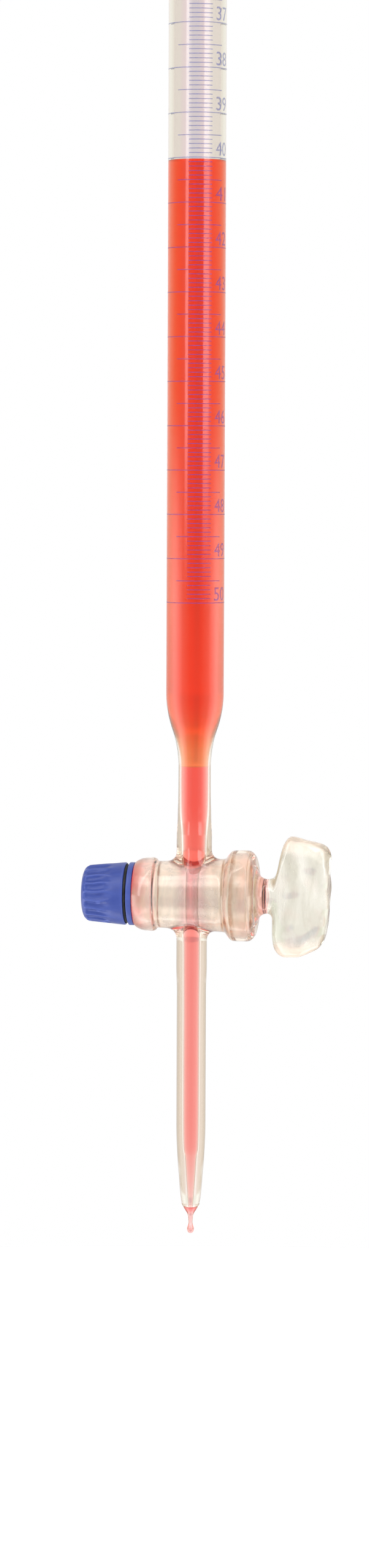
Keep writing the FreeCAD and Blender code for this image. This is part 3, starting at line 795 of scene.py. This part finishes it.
class Graph:
    """A node tree, and the steps that its looks are built from."""

    def __init__(self, tree):
        self.nodes = tree.nodes
        self.links = tree.links

    def fill(self, node, inputs):
        """Set a node's inputs, each to a plain value or colour or to another node's output."""
        for name, value in inputs.items():
            socket = node.inputs[name]
            if isinstance(value, bpy.types.NodeSocket):
                self.links.new(value, socket)
            else:
                socket.default_value = rgba(value) if socket.type == "RGBA" else value
        return node

    def node(self, kind, inputs, **settings):
        made = self.nodes.new("ShaderNode" + kind)
        for name, value in settings.items():
            setattr(made, name, value)
        return self.fill(made, inputs)

    def calculate(self, operation, *values):
        """One step of arithmetic."""
        return self.node("Math", dict(enumerate(values)), operation=operation).outputs["Value"]

    def multiply(self, one, other):
        product = self.node("VectorMath", {0: one, 1: other}, operation="MULTIPLY")
        return product.outputs["Vector"]

    def blend(self, factor, one, other, kind="MIX"):
        """Mix two colours."""
        inputs = {"Fac": factor, "Color1": one, "Color2": other}
        return self.node("MixRGB", inputs, blend_type=kind).outputs["Color"]

    def place(self, shift=(0, 0, 0)):
        """The X, Y and Z of a point in the object's own space, in metres."""
        where = self.node("TexCoord", {}).outputs["Object"]
        moved = self.node("Mapping", {"Vector": where, "Location": shift}).outputs["Vector"]
        return self.node("SeparateXYZ", {"Vector": moved}).outputs

    def distance(self, one, other):
        """Distance from an axis, from the two coordinates across it."""
        flat = self.node("CombineXYZ", {"X": one, "Y": other}).outputs["Vector"]
        return self.node("VectorMath", {0: flat}, operation="LENGTH").outputs["Value"]

    def pattern(self, scale, detail, distortion=0.0, stretch=(1, 1, 1)):
        """Noise in the object's own space, given in features per metre."""
        where = self.node("TexCoord", {}).outputs["Object"]
        mapped = self.node("Mapping", {"Vector": where, "Scale": stretch}).outputs["Vector"]
        inputs = {"Vector": mapped, "Scale": scale, "Detail": detail, "Distortion": distortion}
        return self.node("TexNoise", inputs).outputs["Fac"]

    def ramp(self, source, stops):
        """Levels by a value from 0 to 1; stops are (value, grey level or colour) pairs."""
        made = self.node("ValToRGB", {"Fac": source})
        elements = made.color_ramp.elements
        while len(elements) < len(stops):
            elements.new(0.5)
        for element, (value, level) in zip(elements, stops):
            element.position = value
            element.color = rgba(level)
        return made.outputs["Color"]

    def range_ramp(self, source, low, high, stops, unit=1.0):
        """A ramp over a wider range, whose ends and stops are given in a unit of the source."""
        limits = {"Value": source, "From Min": low * unit, "From Max": high * unit}
        share = self.node("MapRange", limits).outputs["Result"]
        return self.ramp(share, [((value - low) / (high - low), level) for value, level in stops])

    def bump(self, shader, pattern, strength, distance):
        """Fine relief on a shader's surface, with its depth in metres."""
        inputs = {"Height": pattern, "Strength": strength, "Distance": distance}
        self.fill(shader, {"Normal": self.node("Bump", inputs).outputs["Normal"]})

    def absorb(self, colour, density):
        """Colour that deepens with the way through the inside, with its density per metre."""
        inside = self.node("VolumeAbsorption", {"Color": colour, "Density": density})
        self.fill(self.nodes["Material Output"], {"Volume": inside.outputs["Volume"]})


def new_material(name):
    """A material, its graph and its shader."""
    material = bpy.data.materials.new(name)
    material.use_nodes = True
    graph = Graph(material.node_tree)
    return material, graph, graph.nodes["Principled BSDF"]


# ---- materials

GLASS_IOR = 1.5
WATER_IOR = 1.33

# colour of the titrant film in the ground joint, by distance along the key
STAIN = [
    (-14.6, (1.0, 0.02, 0.05)),
    (-14.0, (1.0, 0.10, 0.16)),
    (-13.2, (1.0, 0.45, 0.48)),
    (-11.8, (1.0, 0.78, 0.78)),
    (-9.5, (1.0, 0.95, 0.92)),
    (-3.8, (1.0, 0.94, 0.93)),
    (-2.0, (1.0, 0.80, 0.83)),
    (2.0, (1.0, 0.80, 0.83)),
    (3.6, (1.0, 0.92, 0.90)),
    (9.5, (1.0, 0.92, 0.88)),
    (13.2, (1.0, 0.82, 0.80)),
    (15.0, (1.0, 0.62, 0.62)),
]
UNSTAINED = (1.0, 0.98, 0.96)
# the stained ring on the key's shoulder, where the plug ends, and the film left on a dry bore
STAINED_RING = (1.0, 0.50, 0.50)
DRY_FILM = (0.87, 0.82, 0.83)
# reflection left where glass meets liquid, as a share of that of glass in air
WET_MIRROR = 0.15

# a radius within the body's wall, by height: what lies nearer the axis is the wall of the bore
WALL_SCALE = 10
WALL_RADII = [
    (TIP_Z, 1.2),
    (TAPER_Z, 2.4),
    (NECK_Z, 3.1),
    (SHOULDER_Z - SHOULDER_LENGTH / 2, 4.6),
    (SHOULDER_Z, 6.2),
]


def bore_masks(graph):
    """The wet wall of the bore, below the titrant's surface, and the dry wall above it."""
    x, y, z = graph.place()
    stops = [(height, radius / WALL_SCALE) for height, radius in WALL_RADII]
    limit = graph.calculate("MULTIPLY", graph.range_ramp(z, -420, -270, stops, MM), WALL_SCALE * MM)
    inside = graph.calculate("LESS_THAN", graph.distance(x, y), limit)
    above = graph.calculate("GREATER_THAN", z, (SURFACE_Z + 0.05) * MM)
    dry = graph.calculate("MULTIPLY", inside, above)
    return graph.calculate("SUBTRACT", inside, dry), dry


def ground_mask(graph, along, reach):
    """The ground surfaces: the seat and the plug, and the barrel's end next to the nut."""
    seat = graph.range_ramp(reach, 0, 10, [(0, 1), (7.2, 1), (7.4, 0)], MM)
    length = [(-14.6, 0), (-14.3, 1), (14.8, 1), (15.2, 0)]
    nut_face = graph.range_ramp(along, -20, 20, [(-13.9, 1), (-13.4, 0)], MM)
    seat = graph.multiply(seat, graph.range_ramp(along, -20, 20, length, MM))
    return graph.blend(1.0, seat, nut_face, "LIGHTEN")


def glass_material(name, tints, absorption, waves, cloud, frost, painted_rim_glow, blush):
    """Clear glass with a faint body colour, and a stained, finely ground band at the seat.

    tints are the two ends of the body colour, absorption a (colour, density) pair, and waves the
    (scale, strength, stretch) of the surface's waviness. cloud and frost are the transmission left
    in cloudy patches and far from the key's axis, where the colour turns to the painted rim tint: a
    painted reflection of the pinkish light that the glass's rims pick up.
    """
    material, graph, shader = new_material(name)
    # the plain weight is for programs that do not follow the link made below
    graph.fill(shader, {"Transmission Weight": 1.0, "IOR": GLASS_IOR})
    along, across, up = graph.place((0, 0, -KEY_Z * MM))
    reach = graph.distance(across, up)
    ground = ground_mask(graph, along, reach)
    wet, dry = bore_masks(graph)
    ends = graph.range_ramp(reach, 0, 20, [(10.6, 0), (13.0, 1)], MM)
    smudges = graph.pattern(90, 4)

    haze = graph.ramp(graph.pattern(300, 5, 0.6, (1, 1, 0.22)), [(0.45, 1.0), (0.68, cloud)])
    clear = graph.blend(1.0, haze, graph.blend(ends, 1.0, frost), "MULTIPLY")

    spots = graph.ramp(graph.pattern(150, 3), [(0.56, 0), (0.72, 0.5)])
    ring = [(15.0, 0), (15.7, 1), (17.2, 1), (18.2, 0)]
    body = graph.ramp(smudges, [(0.3, tints[0]), (0.7, tints[1])])
    body = graph.blend(spots, body, blush)
    # painted reflection: far from the key's axis the colour turns to the rim tint, standing in for
    # the pinkish light that the glass's rims pick up
    body = graph.blend(ends, body, painted_rim_glow)
    body = graph.blend(graph.range_ramp(along, 0, 20, ring, MM), body, STAINED_RING)
    body = graph.blend(dry, body, DRY_FILM)
    patches = graph.ramp(graph.pattern(260, 3), [(0.4, 0.5), (0.62, 1)])
    stained = graph.blend(patches, UNSTAINED, graph.range_ramp(along, -20, 20, STAIN, MM))

    polished = graph.ramp(smudges, [(0.45, 0.0), (0.75, 0.035)])
    grinding = graph.ramp(graph.pattern(400, 3, 0.0, (6, 0.4, 0.4)), [(0.3, 0.05), (0.7, 0.16)])
    mirror = graph.blend(ground, graph.blend(wet, 1.0, WET_MIRROR), 1.0)
    graph.fill(shader, {
        "Base Color": graph.blend(ground, body, stained),
        "Roughness": graph.blend(ground, polished, grinding),
        "Transmission Weight": clear,
        "Specular Tint": mirror,
    })
    scale, strength, stretch = waves
    graph.bump(shader, graph.pattern(scale, 2, 0.0, stretch), strength, 0.001)
    graph.absorb(*absorption)
    return material


def titrant_material(name, colour, density, index=WATER_IOR, soft=0.0):
    """Clear orange-red liquid: its colour is all absorption, deeper where there is more of it."""
    material, graph, shader = new_material(name)
    height = graph.place()["Z"]
    drop = graph.calculate("LESS_THAN", height, TIP_Z * MM)
    surface = graph.calculate("GREATER_THAN", height, (SURFACE_Z - 0.1) * MM)
    free = graph.calculate("MAXIMUM", drop, surface)
    graph.fill(shader, {
        "Base Color": graph.ramp(graph.pattern(40, 2), [(0.3, (1.0, 0.97, 0.96)), (0.7, 1)]),
        "Roughness": soft,
        "IOR": index,
        "Transmission Weight": 1.0,
        "Specular Tint": graph.blend(free, WET_MIRROR, 1.0),
    })
    graph.absorb(colour, density)
    return material


def enamel_material():
    """Fired blue-violet enamel: slightly uneven, thin enough to let the glass show through."""
    material, graph, shader = new_material("enamel_blue")
    grain = graph.pattern(2500, 3)
    graph.fill(shader, {
        "Base Color": graph.ramp(grain, [(0.3, (0.010, 0.055, 0.42)), (0.7, (0.025, 0.075, 0.50))]),
        "Roughness": 0.35,
        "Alpha": graph.ramp(grain, [(0.35, 0.26), (0.6, 0.35)]),
    })
    graph.bump(shader, grain, 0.15, 0.0001)
    return material


def plastic_material():
    """Moulded royal-blue plastic: satin, with fine mould texture and a painted highlight on the
    flute crests and rims.
    """
    material, graph, shader = new_material("plastic_blue")
    streaks = graph.pattern(900, 4, 0.2, (0.25, 1, 1))
    blue = graph.ramp(streaks, [(0.3, (0.022, 0.048, 0.265)), (0.7, (0.032, 0.066, 0.32))])
    # painted highlight: pointed crests, such as the flute crests and the rims, are painted a
    # lighter blue where they would catch the light
    painted_ridge_highlight = graph.ramp(graph.node("NewGeometry", {}).outputs["Pointiness"], [(0.5, 0), (0.56, 1)])
    graph.fill(shader, {
        "Base Color": graph.blend(painted_ridge_highlight, blue, (0.06, 0.10, 0.40)),
        "Roughness": graph.ramp(streaks, [(0.3, 0.3), (0.8, 0.48)]),
    })
    graph.bump(shader, streaks, 0.1, 0.00008)
    return material


def rubber_material():
    """Dull black rubber with a dusty bloom."""
    material, graph, shader = new_material("rubber_black")
    bloom = graph.pattern(900, 5)
    black = graph.ramp(bloom, [(0.35, 0.008), (0.8, 0.03)])
    graph.fill(shader, {"Base Color": black, "Roughness": 0.7})
    graph.bump(shader, bloom, 0.3, 0.0002)
    return material


# ---- studio

# the camera's bearing from the front, its downward pitch, its aim to the left and its roll
CAMERA_TURNS = (8.0, 4.86, 0.147, 0.23)
CAMERA_DISTANCE = 939
CAMERA_Z = FIFTY_Z + 36.4
CAMERA_LENS = 90.63
SENSOR_WIDTH = 36
FLOOR_Z = -600
FLOOR_R = 900
SOFTBOX_PLACE = (-500, -900, 750)

# The world as glass sees it. Levels and colours go by the bearing from the camera in degrees, and
# the rest by the sine of the elevation. Panels are what shines on the glass, and backdrops are
# what shows through it; the low ones stand level with the stopcock and the high ones above it.
DEGREE = math.radians(1)
STUDIO_TURN = -9.5
PANEL_PEAK = 6.0
PANEL_CHANGE = (-0.045, 0.02)
LOW_PANELS = [
    (0, 0.5), (30, 0.5), (40, 0.7), (53, 1.3), (62, 2.2), (73, 2.9), (85, 3.8), (96, 3.6),
    (110, 2.3), (127, 1.3), (140, 0.9), (152, 0.75), (180, 0.75),
]
HIGH_PANELS = [
    (-180, 1.0), (-120, 0.85), (-95, 0.55), (-64, 0.55), (-51, 1.0), (-48, 1.6), (-45.5, 4.2),
    (-36.5, 4.2), (-33.5, 0.5), (23.5, 0.5), (27.5, 4.3), (46, 4.2), (51, 1.8), (62, 0.7),
    (95, 0.7), (120, 0.85), (180, 1.0),
]
BEHIND_CAMERA = [(0, 0.8), (27, 0.8), (33, 2.0), (50, 2.0), (60, (0.95, 0.92, 0.88))]
HIGH_BACKDROP = BEHIND_CAMERA + [
    (100, (0.86, 0.78, 0.72)), (136, (0.82, 0.82, 0.74)), (150, (0.88, 0.90, 0.82)),
    (171, (0.90, 0.93, 0.85)), (176.5, (0.90, 0.82, 0.84)), (178.4, (0.80, 0.80, 0.84)),
    (180, (0.80, 0.80, 0.84)),
]
LOW_BACKDROP = BEHIND_CAMERA + [
    (100, (0.58, 0.51, 0.42)), (125, (0.61, 0.53, 0.41)), (135, (0.64, 0.54, 0.42)),
    (146, (0.67, 0.58, 0.47)), (153, (0.73, 0.64, 0.54)), (159, (0.88, 0.80, 0.74)),
    (164, (1.0, 0.98, 0.96)), (180, (1.02, 1.0, 0.98)),
]
LEVEL_BAND = [(-0.075, 0), (-0.04, 1), (0.125, 1), (0.16, 0)]
BACKDROP_UP = [(-1, 1.2), (-0.32, 1.2), (-0.23, 1.0), (0.14, 1.0), (0.24, 1.16), (1, 1.16)]


def make_camera():
    """The camera of the view: level with the 46.5 mL line, a little right of the front."""
    bearing, pitch, aim_left, roll = (math.radians(turn) for turn in CAMERA_TURNS)
    data = bpy.data.cameras.new("camera")
    data.lens = CAMERA_LENS
    data.sensor_width = SENSOR_WIDTH
    camera = bpy.data.objects.new("camera", data)
    away = CAMERA_DISTANCE * MM
    spot = (away * math.sin(bearing), -away * math.cos(bearing), CAMERA_Z * MM)
    place = Matrix.Translation(spot)
    turn = Matrix.Rotation(bearing + aim_left, 4, "Z")
    tilt = Matrix.Rotation(math.radians(90) - pitch, 4, "X")
    camera.matrix_world = place @ turn @ tilt @ Matrix.Rotation(roll, 4, "Z")
    bpy.context.scene.collection.objects.link(camera)
    bpy.context.scene.camera = camera


def make_floor():
    """A pale round floor, well below the held burette."""
    mesh = bpy.data.meshes.new("floor")
    work = bmesh.new()
    bmesh.ops.create_circle(work, cap_ends=True, segments=96, radius=FLOOR_R * MM)
    work.to_mesh(mesh)
    work.free()
    floor = bpy.data.objects.new("floor", mesh)
    floor.location.z = FLOOR_Z * MM
    bpy.context.scene.collection.objects.link(floor)
    material, graph, shader = new_material("floor_pale")
    graph.fill(shader, {
        "Base Color": graph.ramp(graph.pattern(3, 2), [(0.3, 0.86), (0.7, 0.88)]),
        "Roughness": 0.9,
        "Emission Color": 1,
        "Emission Strength": 0.45,
    })
    mesh.materials.append(material)
    floor.visible_glossy = False
    floor.visible_transmission = False


def make_world():
    """A white cyclorama behind the glass, and softboxes with dim gaps for it to reflect."""
    world = bpy.data.worlds.new("studio")
    bpy.context.scene.world = world
    world.use_nodes = True
    graph = Graph(world.node_tree)
    where = graph.node("TexCoord", {}).outputs["Generated"]
    rotation = (0, 0, STUDIO_TURN * DEGREE)
    turned = graph.node("Mapping", {"Vector": where, "Rotation": rotation}).outputs["Vector"]
    across, ahead, height = graph.node("SeparateXYZ", {"Vector": turned}).outputs
    bearing = graph.calculate("ARCTAN2", across, graph.calculate("MULTIPLY", ahead, -1.0))
    either_side = graph.calculate("ABSOLUTE", bearing)

    low_panels, high_panels = (
        [(angle, level / PANEL_PEAK) for angle, level in panels]
        for panels in (LOW_PANELS, HIGH_PANELS)
    )
    low, high = PANEL_CHANGE
    limits = {"Value": height, "From Min": low, "From Max": high}
    change = graph.node("MapRange", limits, interpolation_type="SMOOTHSTEP").outputs["Result"]
    panels = graph.blend(
        change,
        graph.range_ramp(either_side, 0, 180, low_panels, DEGREE),
        graph.range_ramp(bearing, -180, 180, high_panels, DEGREE),
    )
    reflected = graph.node("Background", {"Color": panels, "Strength": PANEL_PEAK})

    around = graph.blend(
        graph.range_ramp(height, -0.2, 0.3, LEVEL_BAND),
        graph.range_ramp(either_side, 0, 180, LOW_BACKDROP, DEGREE),
        graph.range_ramp(either_side, 0, 180, HIGH_BACKDROP, DEGREE),
    )
    upward = graph.range_ramp(height, -1, 1, BACKDROP_UP)
    seen_through = graph.node("Background", {"Color": graph.multiply(around, upward)})

    white = graph.node("Background", {"Color": 1})
    path = graph.node("LightPath", {}).outputs
    mirrored = graph.calculate("MULTIPLY", path["Is Reflection Ray"], path["Is Glossy Ray"])
    mix = mix_shaders(graph, mirrored, seen_through, reflected)
    mix = mix_shaders(graph, path["Is Camera Ray"], mix, white)
    graph.fill(graph.nodes["World Output"], {"Surface": mix.outputs["Shader"]})
    bpy.context.scene.view_settings.view_transform = "Standard"
    cycles = bpy.context.scene.cycles
    cycles.max_bounces = 32
    cycles.transmission_bounces = 32
    cycles.glossy_bounces = 16


def mix_shaders(graph, factor, one, other):
    return graph.node("MixShader", {"Fac": factor, 1: one.outputs[0], 2: other.outputs[0]})


def make_lights():
    """One large soft light above and in front, for the plastics and the handle."""
    light = bpy.data.lights.new("key_softbox", "AREA")
    light.shape = "RECTANGLE"
    light.size = 0.9
    light.size_y = 0.6
    light.energy = 2.2
    lamp = bpy.data.objects.new("key_softbox", light)
    spot = Vector([length * MM for length in SOFTBOX_PLACE])
    aim = (Vector((0, 0, KEY_Z * MM)) - spot).to_track_quat("-Z", "Y")
    lamp.matrix_world = Matrix.Translation(spot) @ aim.to_matrix().to_4x4()
    bpy.context.scene.collection.objects.link(lamp)


make_camera()
make_world()
make_lights()
make_floor()

body_glass = glass_material(
    "glass_body",
    tints=((0.965, 0.92, 0.888), (0.98, 0.935, 0.905)),
    absorption=((0.9, 0.5, 0.0), 11),
    waves=(60, 0.02, (1, 1, 0.15)),
    cloud=1.0,
    frost=1.0,
    painted_rim_glow=(0.98, 0.935, 0.905),
    blush=(0.98, 0.93, 0.90),
)
moulded_glass = glass_material(
    "glass_moulded",
    tints=((0.90, 0.885, 0.84), (0.94, 0.93, 0.89)),
    absorption=((0.5, 0.45, 0.0), 20),
    waves=(260, 0.08, (1, 1, 0.6)),
    cloud=0.62,
    frost=0.5,
    # the peach at the handle's top and bottom is a painted reflection of the warm light its rims
    # pick up
    painted_rim_glow=(1.0, 0.86, 0.76),
    blush=(1.0, 0.80, 0.76),
)
titrant = titrant_material("titrant_red", (1.0, 0.45, 0.0), 520)
deep_titrant = titrant_material("titrant_red_deep", (0.99, 0.1, 0.0), 500)
thin_titrant = titrant_material("titrant_red_thin", (0.99, 0.04, 0.015), 430)
bore_titrant = titrant_material("titrant_red_bore", (0.99, 0.06, 0.03), 80, 1.45, 0.05)
enamel = enamel_material()
plastic = plastic_material()
rubber = rubber_material()

make_burette_glass(body_glass)
make_key(moulded_glass)
make_nut(plastic)
make_washer(plastic)
make_tension_ring(rubber)
make_titrant_column(titrant)
make_neck_liquid(deep_titrant)
make_key_bore_liquid(bore_titrant)
make_jet_liquid(thin_titrant)
make_scale_lines(enamel)
make_numerals(enamel)
